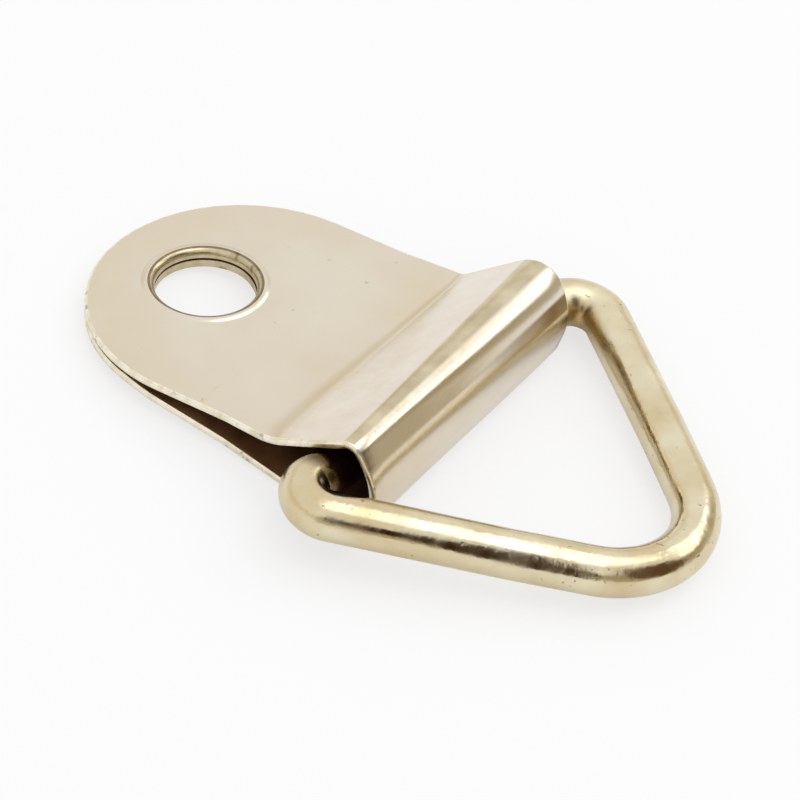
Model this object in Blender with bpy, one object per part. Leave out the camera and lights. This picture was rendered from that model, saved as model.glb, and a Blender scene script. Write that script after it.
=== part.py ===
"""Triangle picture hanger: a sheet-steel strap folded over the bar of a triangular wire ring.

The part lies on its back as on a table, +Z up. The strap's round end points along +Y and
the ring's apex along -Y. The origin is on the table, under the middle of the whole part.
All lengths are in metres.
"""

from math import asin, atan2, ceil, cos, hypot, pi, radians, sin, tan

import bmesh
import bpy
from mathutils import Matrix, Vector

# The strap's blank: one strip of sheet with two round ends and a screw hole in each
SHEET_THICKNESS = 0.0003
STRAP_WIDTH = 0.0120
FOLD_WIDTH = 0.0127
WIDENING_LENGTH = 0.0050
SCREW_HOLE_DIAMETER = 0.0038
SCREW_HOLE_TO_TIP = 0.0041

# The strap's bends, as corners of its middle surface before they are rounded
STRAP_LENGTH = 0.01445
CREASE_PLACE_NEAR = 0.0035
CREASE_PLACE_FAR = 0.00295
RIDGE_REACH_NEAR = 0.0001
RIDGE_REACH_FAR = 0.0006
RIDGE_RISE_NEAR = 0.00172
RIDGE_RISE_FAR = 0.0025
FRONT_REACH_NEAR = 0.0011
FRONT_REACH_FAR = 0.00143
FRONT_RISE = 0.0001
HEEL_REACH = 0.0008
HEEL_DEPTH = 0.0021
CLOSED_LENGTH = 0.0047
LEAF_GAP = 0.0001

# Radii of the bends, on the middle surface
CREASE_RADIUS_NEAR = 0.0025
CREASE_RADIUS_FAR = 0.0006
RIDGE_RADIUS_NEAR = 0.0005
RIDGE_RADIUS_FAR = 0.0011
FRONT_RADIUS = 0.0024
HEEL_RADIUS = 0.0009
CLOSING_RADIUS = 0.0060

# The ring: the triangle of its wire's centre line before the corners are rounded
WIRE_DIAMETER = 0.0018
TRIANGLE_BASE = 0.0193
TRIANGLE_HEIGHT = 0.01366
FAR_CORNER_RADIUS = 0.0012
NEAR_CORNER_RADIUS = 0.0010
APEX_RADIUS = 0.00383
ARM_BOW = 0.0001
ARM_BOW_RADIUS = 0.060
BUTT_GAP = 0.0003

# The kick at the bar's near end, just outside the fold
KICK_BACK = 0.00068
KICK_PLACE = 0.00684
KICK_RADIUS = 0.0020

# How the ring lies in the fold
BAR_BEHIND_RIDGE = 0.00047
BAR_CLEARANCE = 0.00038
BAR_SIDE_SHIFT = 0.0003
BAR_ROLL = radians(2.9)
RING_SKEW = radians(-4.6)
APEX_LIFT = 0.00017

# Fineness of the round stretches
ROUND_END_STEPS = 40
HOLE_STEPS = 48
BEND_STEP_ANGLE = radians(12)
WIRE_STEP_ANGLE = radians(9)
WIRE_SIDES = 16

MERGE_DISTANCE = SHEET_THICKNESS / 1000

# Places across the strap run from 0 at its near edge to 1 at its far edge
MIDDLE = 0.5

# Pieces of the strap's section: the bend it stands on and the slope under the bar
HEEL_PIECE = 7
SLOPE_PIECE = 8

COLLECTION_NAME = "triangle_picture_hanger"


def clear_scene():
    for found in list(bpy.data.objects):
        bpy.data.objects.remove(found, do_unlink=True)


def metal(name, colour, roughness):
    material = bpy.data.materials.new(name)
    material.use_nodes = True
    shader = material.node_tree.nodes["Principled BSDF"]
    shader.inputs["Base Color"].default_value = (*colour, 1.0)
    shader.inputs["Metallic"].default_value = 1.0
    shader.inputs["Roughness"].default_value = roughness
    return material


def rounded_pieces(corners, radii):
    """Straight and round pieces of a line through the corners, each inner corner rounded.

    A piece is (start, end, centre, radius, first angle, sweep); a straight one has no centre.
    """
    pieces = []
    start = Vector(corners[0])
    for before, corner, after, radius in zip(corners, corners[1:], corners[2:], radii):
        corner = Vector(corner)
        back = (Vector(before) - corner).normalized()
        onward = (Vector(after) - corner).normalized()
        half_angle = back.angle(onward) / 2
        setback = radius / tan(half_angle)
        centre = corner + (back + onward).normalized() * radius / sin(half_angle)
        arc_start = corner + back * setback
        arc_end = corner + onward * setback
        first = atan2(*(arc_start - centre).yx)
        last = atan2(*(arc_end - centre).yx)
        sweep = (last - first + pi) % (2 * pi) - pi
        pieces.append((start, arc_start, None, 0, 0, 0))
        pieces.append((arc_start, arc_end, centre, radius, first, sweep))
        start = arc_end
    pieces.append((start, Vector(corners[-1]), None, 0, 0, 0))
    return pieces


def piece_length(piece):
    start, end, centre, radius, first, sweep = piece
    return (end - start).length if centre is None else radius * abs(sweep)


def piece_point(piece, share, offset=0.0):
    """The point a share of the way along a piece, moved sideways to the left of travel."""
    start, end, centre, radius, first, sweep = piece
    if centre is None:
        along = (end - start).normalized()
        return start.lerp(end, share) + Vector((-along.y, along.x)) * offset
    angle = first + sweep * share
    reach = radius - offset if sweep > 0 else radius + offset
    return centre + Vector((cos(angle), sin(angle))) * reach


def arc_points(centre, radius, first, last, steps):
    angles = [first + (last - first) * step / steps for step in range(steps + 1)]
    return [(centre[0] + radius * cos(a), centre[1] + radius * sin(a)) for a in angles]


def between(near, far, across):
    return near + (far - near) * across


def strap_section(across):
    """The bent strip seen from its side, from the upper tip round the fold to the lower tip.

    The first number runs along the strap from the ridge and the second is the height
    above the middle of the upper leaf. The near edge is at 0 across and the far edge at 1.
    """
    lower_leaf = -(SHEET_THICKNESS + LEAF_GAP)
    ridge_reach = between(RIDGE_REACH_NEAR, RIDGE_REACH_FAR, across)
    front_reach = between(FRONT_REACH_NEAR, FRONT_REACH_FAR, across)
    corners = [
        (STRAP_LENGTH, 0),
        (between(CREASE_PLACE_NEAR, CREASE_PLACE_FAR, across), 0),
        (-ridge_reach, between(RIDGE_RISE_NEAR, RIDGE_RISE_FAR, across)),
        (-front_reach, FRONT_RISE),
        (-HEEL_REACH, -HEEL_DEPTH),
        (STRAP_LENGTH - CLOSED_LENGTH, lower_leaf),
        (STRAP_LENGTH, lower_leaf),
    ]
    crease_radius = between(CREASE_RADIUS_NEAR, CREASE_RADIUS_FAR, across)
    ridge_radius = between(RIDGE_RADIUS_NEAR, RIDGE_RADIUS_FAR, across)
    radii = [crease_radius, ridge_radius, FRONT_RADIUS, HEEL_RADIUS, CLOSING_RADIUS]
    return rounded_pieces(corners, radii)


def blank_outline(length):
    """The flat strip's edge, with the upper tip at zero and the strip running along -Y."""
    end_radius = STRAP_WIDTH / 2
    fold = STRAP_LENGTH
    waist = fold - WIDENING_LENGTH
    side = [(-STRAP_WIDTH / 2, -waist), (-FOLD_WIDTH / 2, -fold)]
    side += [(-FOLD_WIDTH / 2, fold - length), (-STRAP_WIDTH / 2, waist - length)]
    other_side = [(-x, y) for x, y in reversed(side)]
    upper_end = arc_points((0, -end_radius), end_radius, 0, pi, ROUND_END_STEPS)
    lower_end = arc_points((0, end_radius - length), end_radius, pi, 2 * pi, ROUND_END_STEPS)
    return upper_end + side + lower_end + other_side


def filled_sheet(name, outlines, thickness):
    """A flat sheet from closed outlines: the first is its edge and the others are holes."""
    curve = bpy.data.curves.new(name, "CURVE")
    curve.dimensions = "2D"
    curve.fill_mode = "BOTH"
    curve.extrude = thickness / 2
    for outline in outlines:
        spline = curve.splines.new("POLY")
        spline.points.add(len(outline) - 1)
        for point, (x, y) in zip(spline.points, outline):
            point.co = (x, y, 0, 1)
        spline.use_cyclic_u = True
    return to_mesh_object(name, curve)


def to_mesh_object(name, curve):
    """The curve's body as a mesh object, with its caps welded on."""
    guide = bpy.data.objects.new(name + "_guide", curve)
    bpy.context.scene.collection.objects.link(guide)
    bpy.context.view_layer.update()
    evaluated = guide.evaluated_get(bpy.context.evaluated_depsgraph_get())
    mesh = bpy.data.meshes.new_from_object(evaluated)
    bpy.data.objects.remove(guide, do_unlink=True)
    body = bmesh.new()
    body.from_mesh(mesh)
    bmesh.ops.remove_doubles(body, verts=body.verts, dist=MERGE_DISTANCE)
    bmesh.ops.recalc_face_normals(body, faces=body.faces)
    body.to_mesh(mesh)
    body.free()
    mesh.name = name
    return bpy.data.objects.new(name, mesh)


def bend_strip(mesh):
    """Cut rows across the flat strip where it bends, then carry each point to its section."""
    middle = strap_section(MIDDLE)
    starts = [0.0]
    for piece in middle:
        starts.append(starts[-1] + piece_length(piece))
    rows = []
    for piece, start in zip(middle, starts):
        sweep = piece[-1]
        steps = max(1, ceil(abs(sweep) / BEND_STEP_ANGLE))
        rows += [start + piece_length(piece) * step / steps for step in range(steps)]
    body = bmesh.new()
    body.from_mesh(mesh)
    for row in rows[1:]:
        parts = body.verts[:] + body.edges[:] + body.faces[:]
        bmesh.ops.bisect_plane(
            body, geom=parts, dist=MERGE_DISTANCE, plane_co=(0, -row, 0), plane_no=(0, 1, 0)
        )
    for vertex in body.verts:
        along = -vertex.co.y
        index = max(i for i in range(len(middle)) if starts[i] <= along + MERGE_DISTANCE)
        share = (along - starts[index]) / piece_length(middle[index])
        across = MIDDLE + vertex.co.x / FOLD_WIDTH
        point = piece_point(strap_section(across)[index], share, -vertex.co.z)
        vertex.co = (vertex.co.x, point.x, point.y)
    body.to_mesh(mesh)
    body.free()


def strap_plate():
    """The folded strap, with its ridge over the X axis and its upper leaf level."""
    length = sum(piece_length(piece) for piece in strap_section(MIDDLE))
    hole_radius = SCREW_HOLE_DIAMETER / 2
    holes = []
    for hole_place in (-SCREW_HOLE_TO_TIP, SCREW_HOLE_TO_TIP - length):
        circle = arc_points((0, hole_place), hole_radius, 0, 2 * pi, HOLE_STEPS)
        holes.append(circle[:-1])
    plate = filled_sheet("strap_plate", [blank_outline(length)] + holes, SHEET_THICKNESS)
    bend_strip(plate.data)
    return plate


def ring_centre_line():
    """The bent wire's middle, flat in XY: from the butt joint round the apex and back.

    Outside the fold the bar's near end kicks back a little before it turns into the arm.
    """
    far_corner = Vector((TRIANGLE_BASE / 2, 0))
    near_corner = Vector((-TRIANGLE_BASE / 2, KICK_BACK))
    apex = Vector((0, -TRIANGLE_HEIGHT))
    far_middle = (far_corner + apex) / 2 + (far_corner - apex).orthogonal().normalized() * -ARM_BOW
    near_middle = (near_corner + apex) / 2 + (near_corner - apex).orthogonal().normalized() * ARM_BOW
    corners = [(BUTT_GAP / 2, 0), far_corner, far_middle, apex, near_middle, near_corner]
    corners += [(-KICK_PLACE, 0), (-BUTT_GAP / 2, 0)]
    radii = [FAR_CORNER_RADIUS, ARM_BOW_RADIUS, APEX_RADIUS]
    radii += [ARM_BOW_RADIUS, NEAR_CORNER_RADIUS, KICK_RADIUS]
    points = []
    for piece in rounded_pieces(corners, radii):
        steps = max(1, ceil(abs(piece[-1]) / WIRE_STEP_ANGLE))
        points += [piece_point(piece, step / steps) for step in range(steps)]
    points.append(Vector(corners[-1]))
    return points


def triangle_ring():
    """The wire ring with its origin at the middle of its bar, which is its hinge line."""
    curve = bpy.data.curves.new("triangle_ring", "CURVE")
    curve.dimensions = "3D"
    curve.bevel_depth = WIRE_DIAMETER / 2
    curve.bevel_resolution = WIRE_SIDES // 2 - 2
    curve.use_fill_caps = True
    points = ring_centre_line()
    spline = curve.splines.new("POLY")
    spline.points.add(len(points) - 1)
    for point, place in zip(spline.points, points):
        point.co = (place.x, place.y, 0, 1)
    return to_mesh_object("triangle_ring", curve)


def resting_tilt():
    """How far the strap turns about X to lie on its heel and the tip of its lower leaf.

    Also gives the middle and the outer radius of the heel.
    """
    start, end, centre, bend_radius, first, sweep = strap_section(MIDDLE)[HEEL_PIECE]
    radius = bend_radius + SHEET_THICKNESS / 2
    underside = -SHEET_THICKNESS / 2 - LEAF_GAP - SHEET_THICKNESS
    tip = Vector((STRAP_LENGTH, underside))
    span = tip - centre
    return -asin(radius / span.length) - atan2(span.y, span.x), centre, radius


def bar_place():
    """The middle of the ring's bar in the strap's own frame, just over the lower leaf."""
    start, end = strap_section(MIDDLE)[SLOPE_PIECE][:2]
    slope = (end.y - start.y) / (end.x - start.x)
    rise = (SHEET_THICKNESS / 2 + BAR_CLEARANCE + WIRE_DIAMETER / 2) * hypot(1, slope)
    height = start.y + slope * (BAR_BEHIND_RIDGE - start.x) + rise
    return Vector((BAR_SIDE_SHIFT, BAR_BEHIND_RIDGE, height))


def ring_droop(bar_height):
    """How far the ring turns down about its bar until its apex is just over the table."""
    half_apex = atan2(TRIANGLE_BASE / 2, TRIANGLE_HEIGHT)
    reach = TRIANGLE_HEIGHT - APEX_RADIUS * (1 / sin(half_apex) - 1)
    return asin((bar_height - APEX_LIFT - WIRE_DIAMETER / 2) / reach)


def stand_on_origin(parts, holder):
    """Move the holder so that the origin is under the middle of all its parts."""
    bpy.context.view_layer.update()
    corners = [part.matrix_world @ vertex.co for part in parts for vertex in part.data.vertices]
    lows = [min(corner[axis] for corner in corners) for axis in range(3)]
    highs = [max(corner[axis] for corner in corners) for axis in range(3)]
    holder.location = (-(lows[0] + highs[0]) / 2, -(lows[1] + highs[1]) / 2, -lows[2])


def main():
    clear_scene()
    collection = bpy.data.collections.new(COLLECTION_NAME)
    bpy.context.scene.collection.children.link(collection)
    holder = bpy.data.objects.new("hanger_origin", None)
    plate = strap_plate()
    ring = triangle_ring()
    for found in (holder, plate, ring):
        collection.objects.link(found)
    for part in (plate, ring):
        part.parent = holder

    tilt, heel_centre, heel_radius = resting_tilt()
    turn = Matrix.Rotation(tilt, 4, "X")
    lift = heel_radius - (turn @ Vector((0, *heel_centre))).z
    plate.rotation_euler.x = tilt
    plate.location.z = lift

    ring.location = turn @ bar_place() + Vector((0, 0, lift))
    ring.rotation_euler = (ring_droop(ring.location.z), BAR_ROLL, RING_SKEW)

    plate.data.materials.append(metal("plated_sheet", (0.76, 0.68, 0.53), 0.28))
    ring.data.materials.append(metal("plated_wire", (0.68, 0.56, 0.36), 0.25))
    for part in (plate, ring):
        part.data.shade_smooth()
        part.data.set_sharp_from_angle(angle=radians(30))
    stand_on_origin([plate, ring], holder)


main()
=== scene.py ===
from math import copysign, cos, pi, radians, sin, tan

import bpy
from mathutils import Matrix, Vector


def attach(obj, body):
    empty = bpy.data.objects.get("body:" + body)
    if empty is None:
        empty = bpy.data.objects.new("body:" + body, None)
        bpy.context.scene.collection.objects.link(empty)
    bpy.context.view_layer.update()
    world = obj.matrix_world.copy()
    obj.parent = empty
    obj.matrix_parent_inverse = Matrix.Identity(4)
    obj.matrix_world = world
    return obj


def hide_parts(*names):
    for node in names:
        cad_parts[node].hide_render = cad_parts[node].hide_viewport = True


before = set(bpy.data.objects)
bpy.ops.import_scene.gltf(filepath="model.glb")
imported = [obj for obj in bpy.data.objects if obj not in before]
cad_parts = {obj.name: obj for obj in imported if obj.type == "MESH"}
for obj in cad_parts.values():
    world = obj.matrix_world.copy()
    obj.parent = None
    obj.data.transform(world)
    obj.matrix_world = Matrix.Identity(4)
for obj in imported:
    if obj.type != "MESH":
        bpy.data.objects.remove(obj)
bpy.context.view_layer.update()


# The strap
# One strip of thin sheet steel, punched with a screw hole near each round end and folded in
# half over the ring's bar, then plated a pale brass. Only the fold holds the ring.
sheet_thickness = 0.0003
leaf_gap = 0.0001
strap_width = 0.0120
fold_width = 0.0127
strap_tip = 0.01445
closed_length = 0.0047
heel_reach = 0.0008
heel_depth = 0.0021
front_rise = 0.0001
front_radius = 0.0024
heel_radius = 0.0009
closing_radius = 0.0060

# The fold was closed by hand, so these differ between the strap's near and far edges
crease_place = (0.0035, 0.00295)
ridge_reach = (0.0001, 0.0006)
ridge_rise = (0.00172, 0.0025)
front_reach = (0.0011, 0.00143)
crease_radius = (0.0025, 0.0006)
ridge_radius = (0.0005, 0.0011)

# The strip is made too wide and too long, and the press tool below trims it
strip_half_width = 0.0065
strip_overrun = 0.0005
strip_columns = 13
flat_angle = radians(0.02)

# It is modelled with its upper leaf level, then laid down on its heel and its tip
strap_tilt = radians(-6.20379)
strap_place = (-0.000283, -0.001539, 0.00211)


def select_only(*things):
    bpy.ops.object.select_all(action="DESELECT")
    for thing in things:
        thing.select_set(True)
    bpy.context.view_layer.objects.active = things[0]


def across(edges, x):
    """A size at a place across the strap, from what it is at the near and the far edge."""
    near, far = edges
    return near + (far - near) * (x / fold_width + 1 / 2)


def draw_section(name, x):
    """The folded strip seen from its side, as a line with its corners rounded by bevels."""
    end = strap_tip + strip_overrun
    lower_leaf = -(sheet_thickness + leaf_gap)
    corners = [
        Vector((x, end, 0)),
        Vector((x, across(crease_place, x), 0)),
        Vector((x, -across(ridge_reach, x), across(ridge_rise, x))),
        Vector((x, -across(front_reach, x), front_rise)),
        Vector((x, -heel_reach, -heel_depth)),
        Vector((x, strap_tip - closed_length, lower_leaf)),
        Vector((x, end, lower_leaf)),
    ]
    bends = [
        (5, closing_radius, 6),
        (4, heel_radius, 16),
        (3, front_radius, 12),
        (2, across(ridge_radius, x), 18),
        (1, across(crease_radius, x), 10),
    ]
    bpy.ops.object.select_all(action="DESELECT")
    bpy.ops.mesh.primitive_plane_add(size=sheet_thickness)
    line = bpy.context.object
    line.name = name
    line.data.name = name
    bpy.ops.object.mode_set(mode="EDIT")
    bpy.ops.mesh.select_mode(type="VERT")
    bpy.ops.mesh.merge(type="CENTER")
    bpy.ops.transform.translate(value=corners[0])
    for before, after in zip(corners, corners[1:]):
        bpy.ops.mesh.extrude_vertices_move(TRANSFORM_OT_translate={"value": after - before})
    for place, radius, steps in bends:
        arriving = corners[place] - corners[place - 1]
        leaving = corners[place + 1] - corners[place]
        setback = radius * tan(arriving.angle(leaving) / 2)
        bpy.ops.mesh.select_all(action="DESELECT")
        bpy.ops.object.mode_set(mode="OBJECT")
        nearest = min(line.data.vertices, key=lambda v: (v.co - corners[place]).length)
        nearest.select = True
        bpy.ops.object.mode_set(mode="EDIT")
        bpy.ops.mesh.bevel(
            offset=setback, offset_type="OFFSET", segments=steps, affect="VERTICES"
        )
    bpy.ops.object.mode_set(mode="OBJECT")
    return line


near_section = draw_section("folded_strap", -strip_half_width)
far_section = draw_section("far_section", strip_half_width)
select_only(near_section, far_section)
bpy.ops.object.join()
strap = bpy.context.object
bpy.ops.object.mode_set(mode="EDIT")
bpy.ops.mesh.select_mode(type="EDGE")
bpy.ops.mesh.select_all(action="SELECT")
bpy.ops.mesh.bridge_edge_loops(number_cuts=strip_columns)
bpy.ops.mesh.select_all(action="SELECT")
bpy.ops.mesh.dissolve_limited(angle_limit=flat_angle)
bpy.ops.mesh.select_all(action="SELECT")
bpy.ops.mesh.normals_make_consistent(inside=False)
bpy.ops.object.mode_set(mode="OBJECT")


def start_material(name, base, roughness):
    """A metal with its colour and roughness on the shader, and the object's coordinates."""
    material = bpy.data.materials.new(name)
    material.use_nodes = True
    tree = material.node_tree
    tree.nodes.new("ShaderNodeTexCoord")
    shader = tree.nodes["Principled BSDF"]
    shader.inputs["Base Color"].default_value = (*base, 1)
    shader.inputs["Metallic"].default_value = 1
    shader.inputs["Roughness"].default_value = roughness
    return material, tree, shader


def add_noise(tree, scale, detail, stretch=(1, 1, 1)):
    """Noise on the object's coordinates, drawn out along the axes with a small stretch."""
    mapping = tree.nodes.new("ShaderNodeMapping")
    mapping.inputs["Scale"].default_value = stretch
    noise = tree.nodes.new("ShaderNodeTexNoise")
    noise.inputs["Scale"].default_value = scale
    noise.inputs["Detail"].default_value = detail
    tree.links.new(tree.nodes["Texture Coordinate"].outputs["Object"], mapping.inputs["Vector"])
    tree.links.new(mapping.outputs["Vector"], noise.inputs["Vector"])
    return noise.outputs["Fac"]


def add_ramp(tree, source, stops):
    """A colour ramp over an output, from (place, grey or colour) stops."""
    ramp = tree.nodes.new("ShaderNodeValToRGB")
    while len(ramp.color_ramp.elements) < len(stops):
        ramp.color_ramp.elements.new(0.5)
    for element, (place, colour) in zip(ramp.color_ramp.elements, stops):
        element.position = place
        element.color = (*colour, 1) if isinstance(colour, tuple) else (colour, colour, colour, 1)
    tree.links.new(source, ramp.inputs["Fac"])
    return ramp.outputs["Color"]


def add_mix(tree, kind, share, first, second):
    """Two colours mixed, by an amount that is a number or an output."""
    mix = tree.nodes.new("ShaderNodeMix")
    mix.data_type = "RGBA"
    mix.blend_type = kind
    if isinstance(share, float):
        mix.inputs["Factor"].default_value = share
    else:
        tree.links.new(share, mix.inputs["Factor"])
    tree.links.new(first, mix.inputs["A"])
    tree.links.new(second, mix.inputs["B"])
    return mix.outputs["Result"]


def add_bump(tree, height, distance, strength, before=None):
    """A bump, laid over the one before it."""
    bump = tree.nodes.new("ShaderNodeBump")
    bump.inputs["Strength"].default_value = strength
    bump.inputs["Distance"].default_value = distance
    tree.links.new(height, bump.inputs["Height"])
    if before is not None:
        tree.links.new(before, bump.inputs["Normal"])
    return bump.outputs["Normal"]


def add_math(tree, operation, first, second):
    """Arithmetic on two outputs."""
    result = tree.nodes.new("ShaderNodeMath")
    result.operation = operation
    tree.links.new(first, result.inputs[0])
    tree.links.new(second, result.inputs[1])
    return result.outputs["Value"]


def add_scaled(tree, source, factor, offset):
    """An output times a number, plus a number or another output."""
    result = tree.nodes.new("ShaderNodeMath")
    result.operation = "MULTIPLY_ADD"
    result.inputs[1].default_value = factor
    tree.links.new(source, result.inputs[0])
    if isinstance(offset, (int, float)):
        result.inputs[2].default_value = offset
    else:
        tree.links.new(offset, result.inputs[2])
    return result.outputs["Value"]


def add_fade(tree, source, none, full):
    """A soft step, 0 at the first value and 1 at the second."""
    fade = tree.nodes.new("ShaderNodeMapRange")
    fade.interpolation_type = "SMOOTHSTEP"
    fade.inputs["From Min"].default_value = none
    fade.inputs["From Max"].default_value = full
    tree.links.new(source, fade.inputs["Value"])
    return fade.outputs["Result"]


def add_own_frame(tree, place, turn):
    """A placed piece's own X, Y and Z, as it was modelled."""
    mapping = tree.nodes.new("ShaderNodeMapping")
    mapping.vector_type = "TEXTURE"
    mapping.inputs["Location"].default_value = place
    mapping.inputs["Rotation"].default_value = turn
    tree.links.new(tree.nodes["Texture Coordinate"].outputs["Object"], mapping.inputs["Vector"])
    split = tree.nodes.new("ShaderNodeSeparateXYZ")
    tree.links.new(mapping.outputs["Vector"], split.inputs["Vector"])
    return split.outputs


def add_line_side(tree, own, axis, ends, blur):
    """1 beyond a line drawn across the strip, from its places at the near and the far edge."""
    near, far = ends
    middle = (near + far) / 2
    levelled = add_scaled(tree, own["X"], (near - far) / (2 * strip_half_width), own[axis])
    return add_fade(tree, levelled, middle - blur, middle + blur)


def add_strip(tree, own, axis, starts, ends, blur):
    """1 between two such lines."""
    return add_math(
        tree, "SUBTRACT",
        add_line_side(tree, own, axis, starts, blur),
        add_line_side(tree, own, axis, ends, blur),
    )


def plated_sheet_material():
    """Pale brass plating, clouded and scratched, with painted reflections: brighter on the fold's
    slope, a darker band on its ridge and dark low on its front."""
    material, tree, shader = start_material("pale_brass_sheet", (0.72, 0.64, 0.50), 0.2)
    clouds = add_noise(tree, 170, 3)
    tint = add_ramp(tree, clouds, [
        (0.34, (0.705, 0.610, 0.455)), (0.50, (0.725, 0.645, 0.520)), (0.66, (0.745, 0.680, 0.565)),
    ])
    spots = add_ramp(tree, add_noise(tree, 2300, 2), [(0.22, 0.8), (0.27, 1.0)])
    colour = add_mix(tree, "MULTIPLY", 1.0, tint, spots)

    own = add_own_frame(tree, strap_place, (strap_tilt, 0, 0))
    patches = add_noise(tree, 900, 4)
    # The fold's slope is painted paler: a painted brighter reflection there
    slope = add_math(
        tree, "MULTIPLY",
        add_line_side(tree, own, "Y", ends=(0.0003, 0.0006), blur=0.0001),
        add_fade(tree, own["Z"], none=0.0002, full=0.0006),
    )
    pale = add_ramp(tree, patches, [(0.30, (0.750, 0.665, 0.540)), (0.70, (0.800, 0.725, 0.635))])
    colour = add_mix(tree, "MIX", slope, colour, pale)
    # A darker gold band along the ridge's back: a painted reflection
    ridge = add_math(
        tree, "MULTIPLY",
        add_strip(tree, own, "Y", starts=(-0.00006, -0.00038), ends=(0.00028, 0.00055), blur=0.00005),
        add_fade(tree, own["Z"], none=0.0010, full=0.0013),
    )
    painted_ridge_reflection = add_ramp(tree, patches, [(0.30, (0.50, 0.42, 0.27)), (0.70, (0.70, 0.61, 0.43))])
    colour = add_mix(tree, "MIX", ridge, colour, painted_ridge_reflection)
    # Dark brown low on the front, growing towards the far side: a painted dark reflection
    low_front = add_math(
        tree, "MULTIPLY",
        add_strip(tree, own, "Z", starts=(0.00070, 0.00045), ends=(0.00078, 0.00115), blur=0.00008),
        add_fade(tree, own["Y"], none=-0.0006, full=-0.0009),
    )
    low_front = add_math(tree, "MULTIPLY", low_front, add_fade(tree, own["X"], none=-0.001, full=0.006))
    painted_dark_tone = add_ramp(tree, patches, [(0.35, (0.15, 0.08, 0.02)), (0.70, (0.26, 0.17, 0.06))])
    colour = add_mix(tree, "MIX", low_front, colour, painted_dark_tone)
    tree.links.new(colour, shader.inputs["Base Color"])

    scratches = add_noise(tree, 420, 4, stretch=(14, 1, 1))
    scratch_lines = add_ramp(tree, scratches, [(0.47, 0.0), (0.50, 1.0), (0.53, 0.0)])
    cross_scratches = add_noise(tree, 520, 4, stretch=(1, 9, 1))
    cross_lines = add_ramp(tree, cross_scratches, [(0.48, 0.0), (0.50, 1.0), (0.52, 0.0)])
    worn = add_mix(tree, "ADD", 1.0, scratch_lines, cross_lines)
    wear = add_ramp(tree, clouds, [(0.35, 0.15), (0.65, 0.22)])
    tree.links.new(add_scaled(tree, worn, 0.04, wear), shader.inputs["Roughness"])

    waves = add_noise(tree, 330, 2)
    grain = add_noise(tree, 6000, 3)
    normal = add_bump(tree, waves, distance=0.000012, strength=0.4)
    normal = add_bump(tree, spots, distance=0.00001, strength=0.4, before=normal)
    normal = add_bump(tree, worn, distance=0.000001, strength=0.4, before=normal)
    normal = add_bump(tree, grain, distance=0.000003, strength=0.4, before=normal)
    tree.links.new(normal, shader.inputs["Normal"])
    return material


def fold_inside_material():
    """The sheet's inner face in the fold: dark brown as a painted shade of the fold's hollow, dull and
    clouded.
    """
    material, tree, shader = start_material("fold_inside_painted_shade", (0.25, 0.12, 0.05), 0.42)
    shader.inputs["Metallic"].default_value = 0.5
    clouds = add_noise(tree, 600, 3)
    tint = add_ramp(tree, clouds, [(0.35, (0.18, 0.08, 0.03)), (0.65, (0.32, 0.16, 0.07))])
    tree.links.new(tint, shader.inputs["Base Color"])
    rough = add_ramp(tree, clouds, [(0.35, 0.35), (0.65, 0.5)])
    tree.links.new(rough, shader.inputs["Roughness"])
    rubs = add_noise(tree, 2500, 3, stretch=(1, 1, 0.2))
    normal = add_bump(tree, rubs, distance=0.00001, strength=0.5)
    tree.links.new(normal, shader.inputs["Normal"])
    return material


def cut_sheet_material(name, torn, burnished, nick_depth, crest_start=None):
    """A cut face of the sheet, with torn and burnished streaks; above its crest's start, a painted olive
    reflection.
    """
    material, tree, shader = start_material(name, burnished, 0.26)
    streaks = add_noise(tree, 2600, 3, stretch=(1, 1, 0.3))
    nicks = add_noise(tree, 1900, 2)
    tint = add_ramp(tree, streaks, [(0.34, torn), (0.60, burnished)])
    nicked = add_ramp(tree, nicks, [(0.30, 0.62), (0.38, 1.0)])
    colour = add_mix(tree, "MULTIPLY", 1.0, tint, nicked)
    if crest_start is not None:
        # Above the crest's start the colour is darkened to olive: a painted dark reflection line on the
        # rim
        crest_blur = 0.00002
        own = add_own_frame(tree, strap_place, (strap_tilt, 0, 0))
        crest = add_fade(tree, own["Z"], crest_start, crest_start + crest_blur)
        olive = add_ramp(tree, crest, [(0.0, 1.0), (1.0, (0.42, 0.40, 0.36))])
        colour = add_mix(tree, "MULTIPLY", 1.0, colour, olive)
    tree.links.new(colour, shader.inputs["Base Color"])
    rough = add_ramp(tree, nicks, [(0.3, 0.42), (0.6, 0.24)])
    tree.links.new(rough, shader.inputs["Roughness"])
    normal = add_bump(tree, streaks, distance=0.000004, strength=0.4)
    normal = add_bump(tree, nicks, distance=nick_depth, strength=0.5, before=normal)
    tree.links.new(normal, shader.inputs["Normal"])
    return material


plated_sheet = plated_sheet_material()
fold_inside = fold_inside_material()
sheared_edge = cut_sheet_material(
    "sheared_edge", torn=(0.76, 0.68, 0.50), burnished=(0.90, 0.85, 0.72), nick_depth=0.00001
)
punched_rim = cut_sheet_material(
    "punched_rim", torn=(0.50, 0.41, 0.25), burnished=(0.62, 0.53, 0.36), nick_depth=0.000004,
    crest_start=0.00019,
)
strap.data.materials.append(plated_sheet)
strap.data.materials.append(fold_inside)

thicken = strap.modifiers.new("sheet", "SOLIDIFY")
thicken.thickness = sheet_thickness
thicken.offset = 0
thicken.material_offset = 1
bpy.ops.object.modifier_apply(modifier=thicken.name)


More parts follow.
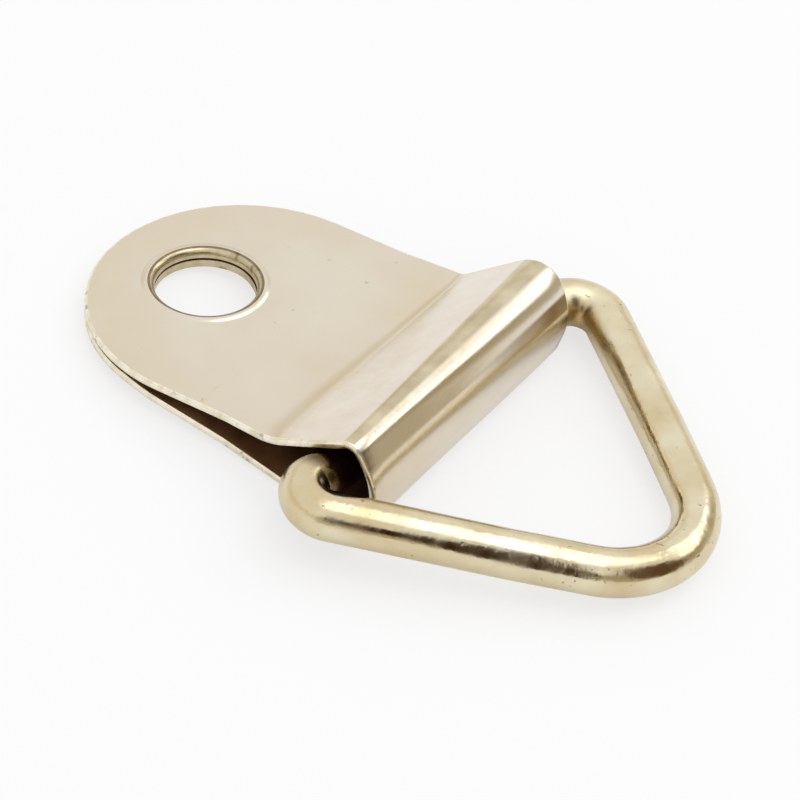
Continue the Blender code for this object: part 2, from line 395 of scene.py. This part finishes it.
# The press tool's outline: a round end, straight sides, and a slight widening to the fold
round_end_radius = strap_width / 2
round_end_place = strap_tip - round_end_radius
waist_place = 0.0055
fold_place = 0.0009
tool_height = 0.02
bpy.ops.object.select_all(action="DESELECT")
bpy.ops.mesh.primitive_cylinder_add(
    vertices=160, radius=round_end_radius, depth=tool_height, location=(0, round_end_place, 0)
)
outline_tool = bpy.context.object
outline_tool.data.materials.append(sheared_edge)
bpy.ops.object.mode_set(mode="EDIT")
bpy.ops.mesh.select_all(action="SELECT")
bpy.ops.mesh.bisect(
    plane_co=(0, round_end_place, 0), plane_no=(0, 1, 0), use_fill=True, clear_inner=True
)
bpy.ops.mesh.extrude_region_move(
    TRANSFORM_OT_translate={"value": (0, waist_place - round_end_place, 0)}
)
bpy.ops.mesh.extrude_region_move(TRANSFORM_OT_translate={"value": (0, fold_place - waist_place, 0)})
bpy.ops.transform.resize(value=(fold_width / strap_width, 1, 1))
bpy.ops.mesh.extrude_region_move(TRANSFORM_OT_translate={"value": (0, -round_end_radius, 0)})
bpy.ops.object.mode_set(mode="OBJECT")


def cut_strap(tool, operation):
    cut = strap.modifiers.new("cut", "BOOLEAN")
    cut.operation = operation
    cut.solver = "EXACT"
    cut.material_mode = "TRANSFER"
    cut.object = tool
    select_only(strap)
    bpy.ops.object.modifier_apply(modifier=cut.name)
    bpy.data.objects.remove(tool)


# The punch goes through both leaves, rolls the upper rim in and leaves a raised bead round it
screw_hole_radius = 0.0019
screw_hole_to_tip = 0.0041
screw_hole_place = strap_tip - screw_hole_to_tip
bead_height = 0.00008
bead_foot = 0.00245
bead_top = 0.00220
bead_sunk = 0.000002
rim_roll = 0.00028
rim_steps = 9


def make_round_tool(radius, bottom, profile, material):
    """A disc on the hole's axis, extruded up through (height, radius) steps."""
    bpy.ops.object.select_all(action="DESELECT")
    bpy.ops.mesh.primitive_circle_add(
        vertices=96, radius=radius, location=(0, screw_hole_place, bottom)
    )
    tool = bpy.context.object
    tool.data.materials.append(material)
    bpy.ops.object.mode_set(mode="EDIT")
    bpy.ops.mesh.select_all(action="SELECT")
    bpy.ops.mesh.edge_face_add()
    for top, top_radius in profile:
        bpy.ops.mesh.extrude_region_move(TRANSFORM_OT_translate={"value": (0, 0, top - bottom)})
        bpy.ops.transform.resize(value=(top_radius / radius, top_radius / radius, 1))
        bottom = top
        radius = top_radius
    bpy.ops.mesh.select_all(action="SELECT")
    bpy.ops.mesh.normals_make_consistent(inside=False)
    bpy.ops.object.mode_set(mode="OBJECT")
    return tool


step_shares = [step / rim_steps for step in range(rim_steps + 1)]
leaf_top = sheet_thickness / 2
roll_start = leaf_top + bead_height - rim_roll
bead_profile = [
    (leaf_top - bead_sunk + bead_height * (1 - cos(pi * share)) / 2,
     bead_foot + (bead_top - bead_foot) * share)
    for share in step_shares
]
punch_profile = [
    (roll_start + rim_roll * sin(pi / 2 * share),
     screw_hole_radius + rim_roll * (1 - cos(pi / 2 * share)))
    for share in step_shares
]
punch_profile.append((tool_height / 2, screw_hole_radius + rim_roll))
bead = make_round_tool(bead_foot, 0, bead_profile, plated_sheet)
hole_punch = make_round_tool(screw_hole_radius, -tool_height / 2, punch_profile, punched_rim)
cut_strap(bead, "UNION")
cut_strap(outline_tool, "INTERSECT")
cut_strap(hole_punch, "DIFFERENCE")

# Tumbling softens the outline's sheared edges, and the flat leaves keep flat shading
edge_roll = 0.0001
cut_merge = 0.00001
smooth_angle = radians(35)
level_normal = 0.9995
bpy.ops.object.mode_set(mode="EDIT")
bpy.ops.mesh.select_mode(type="EDGE")
bpy.ops.mesh.select_all(action="SELECT")
bpy.ops.mesh.remove_doubles(threshold=cut_merge)
bpy.ops.mesh.select_all(action="DESELECT")
bpy.ops.object.mode_set(mode="OBJECT")
edge_slot = strap.data.materials.find("sheared_edge")
sides = {}
for face in strap.data.polygons:
    for key in face.edge_keys:
        sides.setdefault(key, set()).add(face.material_index)
for edge in strap.data.edges:
    edge.select = edge_slot in sides[edge.key] and len(sides[edge.key]) == 2
bpy.ops.object.mode_set(mode="EDIT")
bpy.ops.mesh.bevel(
    offset=edge_roll, offset_type="OFFSET", segments=3, affect="EDGES",
    material=edge_slot, loop_slide=False,
)
bpy.ops.object.mode_set(mode="OBJECT")
bpy.ops.object.shade_smooth_by_angle(angle=smooth_angle)
flatten = strap.modifiers.new("flat faces first", "WEIGHTED_NORMAL")
flatten.weight = 100
flatten.keep_sharp = True
bpy.ops.object.modifier_apply(modifier=flatten.name)
bpy.ops.object.mode_set(mode="EDIT")
bpy.ops.mesh.select_mode(type="FACE")
bpy.ops.mesh.select_all(action="DESELECT")
bpy.ops.object.mode_set(mode="OBJECT")
for face in strap.data.polygons:
    face.select = abs(face.normal.z) > level_normal
bpy.ops.object.mode_set(mode="EDIT")
bpy.ops.mesh.set_normals_from_faces(keep_sharp=True)
bpy.ops.object.mode_set(mode="OBJECT")

strap.rotation_euler.x = strap_tilt
strap.location = strap_place
bpy.ops.object.transform_apply(location=True, rotation=True, scale=True)

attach(strap, "strap")
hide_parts("strap_plate")


# The ring
# One piece of round brass-plated wire, bent into a triangle with three rounded corners. Its
# two cut ends butt together inside the fold, and its bar swings there.
wire_radius = 0.0009
butt_gap = 0.0003

# The triangle of the wire's middle before its corners are rounded
triangle_base = 0.0193
triangle_height = 0.01366
far_corner_radius = 0.0012
near_corner_radius = 0.0010
apex_radius = 0.00383
arm_bow = 0.0001
arm_bow_radius = 0.060

# The bar's near end kicks back a little just outside the fold
kick_back = 0.00068
kick_place = 0.00684
kick_radius = 0.0020

# How the bent ring lies in the fold
ring_turn = (radians(2.86933), radians(2.9), radians(-4.6))
ring_place = (0.0000166, -0.0011203, 0.0016149)

far_corner = Vector((triangle_base / 2, 0, 0))
near_corner = Vector((-triangle_base / 2, kick_back, 0))
apex = Vector((0, -triangle_height, 0))
kick = Vector((-kick_place, 0, 0))
first_end = Vector((butt_gap / 2, 0, 0))
second_end = Vector((-butt_gap / 2, 0, 0))


def right_of(heading):
    """The level direction to the right of a heading."""
    return Vector((heading.y, -heading.x, 0))


def bowed_arm(corner, side):
    """The middle of the arm between the apex and a corner, pushed out by the arm's bow."""
    return (corner + apex) / 2 + right_of((corner - apex).normalized()) * side * arm_bow


bends = [
    (far_corner, far_corner_radius, 24),
    (bowed_arm(far_corner, 1), arm_bow_radius, 3),
    (apex, apex_radius, 30),
    (bowed_arm(near_corner, -1), arm_bow_radius, 3),
    (near_corner, near_corner_radius, 26),
    (kick, kick_radius, 4),
]
next_corners = [bend[0] for bend in bends[1:]] + [second_end]

bpy.ops.object.select_all(action="DESELECT")
bpy.ops.mesh.primitive_circle_add(
    vertices=48, radius=wire_radius, rotation=(0, radians(90), 0), location=first_end
)
bpy.ops.object.transform_apply(location=True, rotation=True, scale=True)
ring = bpy.context.object
ring.name = "wire_ring"
ring.data.name = "wire_ring"
bpy.ops.object.mode_set(mode="EDIT")
bpy.ops.mesh.select_all(action="SELECT")
bpy.ops.mesh.edge_face_add()
place = first_end
heading = Vector((1, 0, 0))
for (corner, radius, steps), next_corner in zip(bends, next_corners):
    leaving = (next_corner - corner).normalized()
    turn = heading.xy.angle_signed(leaving.xy)
    setback = radius * tan(abs(turn) / 2)
    bend_start = corner - heading * setback
    bpy.ops.mesh.extrude_region_move(TRANSFORM_OT_translate={"value": bend_start - place})
    bpy.ops.mesh.spin(
        steps=steps, angle=turn, center=bend_start + right_of(heading) * copysign(radius, turn),
        axis=(0, 0, 1), use_auto_merge=False,
    )
    place = corner + leaving * setback
    heading = leaving
bpy.ops.mesh.extrude_region_move(TRANSFORM_OT_translate={"value": second_end - place})
bpy.ops.mesh.select_all(action="SELECT")
bpy.ops.mesh.normals_make_consistent(inside=False)
bpy.ops.object.mode_set(mode="OBJECT")
bpy.ops.object.shade_smooth_by_angle(angle=smooth_angle)

ring.rotation_euler = ring_turn
ring.location = ring_place
bpy.ops.object.transform_apply(location=True, rotation=True, scale=True)


def plated_wire_material():
    """Brass-plated wire: warm clouds, small pits and dull patches, with painted shade inside the fold
    and below its far corner."""
    material, tree, shader = start_material("brass_wire", (0.66, 0.57, 0.38), 0.16)
    clouds = add_noise(tree, 420, 4)
    tint = add_ramp(tree, clouds, [
        (0.30, (0.620, 0.500, 0.300)), (0.50, (0.710, 0.620, 0.420)), (0.70, (0.780, 0.715, 0.540)),
    ])
    pits = add_ramp(tree, add_noise(tree, 4200, 2), [(0.25, 0.5), (0.32, 1.0)])
    colour = add_mix(tree, "MULTIPLY", 1.0, tint, pits)

    own = add_own_frame(tree, ring_place, ring_turn)
    # The wire inside the fold is darkened to brown: painted shade of the fold
    in_fold = add_math(
        tree, "MULTIPLY",
        add_fade(tree, own["X"], none=-0.0079, full=-0.0071),
        add_fade(tree, own["X"], none=0.0074, full=0.0066),
    )
    in_fold = add_math(tree, "MULTIPLY", in_fold, add_fade(tree, own["Y"], none=-0.0015, full=-0.0008))
    painted_dark_tone = add_ramp(tree, clouds, [(0.35, (0.12, 0.08, 0.035)), (0.65, (0.20, 0.14, 0.07))])
    colour = add_mix(tree, "MIX", in_fold, colour, painted_dark_tone)
    # The wire's lower side by its far corner is darkened to brown: painted shade
    by_far_corner = add_math(
        tree, "MULTIPLY",
        add_fade(tree, own["X"], none=0.0056, full=0.0064),
        add_fade(tree, own["Y"], none=-0.0032, full=-0.0012),
    )
    below = add_math(tree, "MULTIPLY", by_far_corner, add_fade(tree, own["Z"], none=0.0008, full=0.0003))
    brown = add_ramp(tree, clouds, [(0.35, (0.36, 0.24, 0.09)), (0.65, (0.56, 0.42, 0.20))])
    colour = add_mix(tree, "MIX", below, colour, brown)
    tree.links.new(colour, shader.inputs["Base Color"])

    rough = add_ramp(tree, add_noise(tree, 1100, 4), [(0.35, 0.11), (0.7, 0.30)])
    duller = add_ramp(tree, by_far_corner, [(0.0, 0.0), (1.0, 0.15)])
    tree.links.new(add_mix(tree, "ADD", 1.0, rough, duller), shader.inputs["Roughness"])

    dents = add_noise(tree, 1300, 4)
    grain = add_noise(tree, 7000, 3)
    normal = add_bump(tree, dents, distance=0.00004, strength=0.6)
    normal = add_bump(tree, pits, distance=0.00002, strength=0.5, before=normal)
    normal = add_bump(tree, grain, distance=0.000004, strength=0.5, before=normal)
    tree.links.new(normal, shader.inputs["Normal"])
    return material


ring.data.materials.append(plated_wire_material())

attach(ring, "ring")
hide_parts("triangle_ring")


# The table
# A white tabletop that shows the hanger's soft shadow. It glows a little to the camera and in
# reflections, so that it stays pale without more light on the metal.
bpy.ops.object.select_all(action="DESELECT")
bpy.ops.mesh.primitive_plane_add(size=6)
floor = bpy.context.object
floor.name = "floor"
floor_material = bpy.data.materials.new("white_table")
floor_material.use_nodes = True
tree = floor_material.node_tree
table = tree.nodes["Principled BSDF"]
table.inputs["Base Color"].default_value = (0.9, 0.9, 0.9, 1)
table.inputs["Roughness"].default_value = 0.9
table.inputs["Specular IOR Level"].default_value = 0
glow_seen = 0.68
glow_mirrored = 0.26
mirrored_boost = 0.2
rays = tree.nodes.new("ShaderNodeLightPath")
glow = tree.nodes.new("ShaderNodeEmission")
blend = tree.nodes.new("ShaderNodeMixShader")
seen_share = add_scaled(tree, rays.outputs["Is Camera Ray"], glow_seen, 0)
glow_share = add_scaled(tree, rays.outputs["Is Glossy Ray"], glow_mirrored, seen_share)
strength = add_scaled(tree, rays.outputs["Is Glossy Ray"], mirrored_boost, 1)
tree.links.new(strength, glow.inputs["Strength"])
tree.links.new(glow_share, blend.inputs["Fac"])
tree.links.new(table.outputs["BSDF"], blend.inputs[1])
tree.links.new(glow.outputs["Emission"], blend.inputs[2])
tree.links.new(blend.outputs["Shader"], tree.nodes["Material Output"].inputs["Surface"])
floor.data.materials.append(floor_material)


# The dark flag
# A narrow wedge of brown cloth on the camera's side, seen only in the metal: it draws the dark
# line along the ring's near arm.
flag_length = 0.012
flag_height = 0.040
tip_share = 0.05
bpy.ops.object.select_all(action="DESELECT")
bpy.ops.mesh.primitive_plane_add(size=flag_length)
flag = bpy.context.object
flag.name = "dark_flag"
bpy.ops.object.mode_set(mode="EDIT")
bpy.ops.mesh.select_mode(type="VERT")
bpy.ops.mesh.select_all(action="SELECT")
bpy.ops.transform.resize(value=(1, flag_height / flag_length, 1))
bpy.ops.mesh.select_all(action="DESELECT")
bpy.ops.object.mode_set(mode="OBJECT")
for corner in flag.data.vertices:
    corner.select = corner.co.x < 0
bpy.ops.object.mode_set(mode="EDIT")
bpy.ops.transform.resize(value=(1, tip_share, 1))
bpy.ops.object.mode_set(mode="OBJECT")
flag.rotation_euler = (radians(66), radians(1.5), radians(-56.5))
flag.location = (-0.0240, -0.0204, 0.0116)
flag.visible_camera = False
flag.visible_diffuse = False
flag.visible_shadow = False
flag_material = bpy.data.materials.new("dark_flag")
flag_material.use_nodes = True
cloth = flag_material.node_tree.nodes["Principled BSDF"]
cloth.inputs["Base Color"].default_value = (0.050, 0.020, 0.003, 1)
cloth.inputs["Roughness"].default_value = 1
cloth.inputs["Specular IOR Level"].default_value = 0
flag.data.materials.append(flag_material)


# The studio
# Two large softboxes over the table, in a pale room. The room is darker low down, most of all
# in front and below the camera, which draws the dark lines in the polished metal.
lamp_power = 4.0
for name, place, width, depth in (
    ("softbox_above", (0.105, -0.11, 0.5), 0.47, 0.26),
    ("softbox_right", (0.64, -0.36, 0.5), 0.38, 0.72),
):
    softbox = bpy.data.lights.new(name, "AREA")
    softbox.shape = "RECTANGLE"
    softbox.size = width
    softbox.size_y = depth
    softbox.energy = lamp_power * width * depth
    lamp = bpy.data.objects.new(name, softbox)
    lamp.location = place
    bpy.context.scene.collection.objects.link(lamp)

world = bpy.data.worlds.new("studio")
world.use_nodes = True
tree = world.node_tree
direction = tree.nodes.new("ShaderNodeTexCoord").outputs["Generated"]
split = tree.nodes.new("ShaderNodeSeparateXYZ")
tree.links.new(direction, split.inputs["Vector"])


def add_dark_patch(before, towards, rim, core, colour):
    """A soft round dark patch in the room, from the cosines at its rim and its core."""
    aim = tree.nodes.new("ShaderNodeVectorMath")
    aim.operation = "DOT_PRODUCT"
    aim.inputs[1].default_value = towards
    tree.links.new(direction, aim.inputs[0])
    patch = tree.nodes.new("ShaderNodeMix")
    patch.data_type = "RGBA"
    patch.inputs["B"].default_value = (*colour, 1)
    tree.links.new(add_fade(tree, aim.outputs["Value"], rim, core), patch.inputs["Factor"])
    tree.links.new(before, patch.inputs["A"])
    return patch.outputs["Result"]


pale_side = add_ramp(tree, split.outputs["Z"], [
    (0.00, (1.00, 0.98, 0.96)), (0.10, (0.98, 0.955, 0.92)), (0.26, (0.83, 0.77, 0.64)), (0.50, 1),
])
dark_side = add_ramp(tree, split.outputs["Z"], [
    (0.00, (0.62, 0.57, 0.44)), (0.25, (0.50, 0.44, 0.32)), (0.42, (0.48, 0.42, 0.30)), (0.55, 1),
])
side = add_fade(tree, split.outputs["Y"], none=0.1, full=-0.3)
room = add_mix(tree, "MIX", side, pale_side, dark_side)
room = add_dark_patch(room, towards=(0.12, -0.88, 0.45), rim=0.86, core=0.93, colour=(0.12, 0.07, 0.03))
room = add_dark_patch(
    room, towards=(-0.755, -0.513, 0.406), rim=0.970, core=0.988, colour=(0.04, 0.022, 0.008)
)

# The camera sees plain white, the metal mirrors the room, and all else gets even light
reflected = tree.nodes["Background"]
tree.links.new(room, reflected.inputs["Color"])
plain = tree.nodes.new("ShaderNodeBackground")
plain.inputs["Color"].default_value = (1, 1, 1, 1)
soft = tree.nodes.new("ShaderNodeBackground")
soft.inputs["Color"].default_value = (1, 1, 1, 1)
soft.inputs["Strength"].default_value = 0.85
rays = tree.nodes.new("ShaderNodeLightPath")
bounced = tree.nodes.new("ShaderNodeMixShader")
seen = tree.nodes.new("ShaderNodeMixShader")
tree.links.new(rays.outputs["Is Glossy Ray"], bounced.inputs["Fac"])
tree.links.new(soft.outputs["Background"], bounced.inputs[1])
tree.links.new(reflected.outputs["Background"], bounced.inputs[2])
tree.links.new(rays.outputs["Is Camera Ray"], seen.inputs["Fac"])
tree.links.new(bounced.outputs["Shader"], seen.inputs[1])
tree.links.new(plain.outputs["Background"], seen.inputs[2])
tree.links.new(seen.outputs["Shader"], tree.nodes["World Output"].inputs["Surface"])
bpy.context.scene.world = world


# The camera
# It looks down on the hanger from the left of its front, with the photograph's perspective.
camera_data = bpy.data.cameras.new("camera")
camera_data.sensor_width = 36
camera_data.lens = 204
camera_data.clip_start = 0.01
camera = bpy.data.objects.new("camera", camera_data)
bpy.context.scene.collection.objects.link(camera)
camera.location = (-0.11147, -0.051613, 0.109954)
camera.rotation_euler = (radians(47.7064), radians(-8.5895), radians(-57.3165))
bpy.context.scene.camera = camera
bpy.context.scene.view_settings.view_transform = "Standard"

bpy.context.view_layer.update()
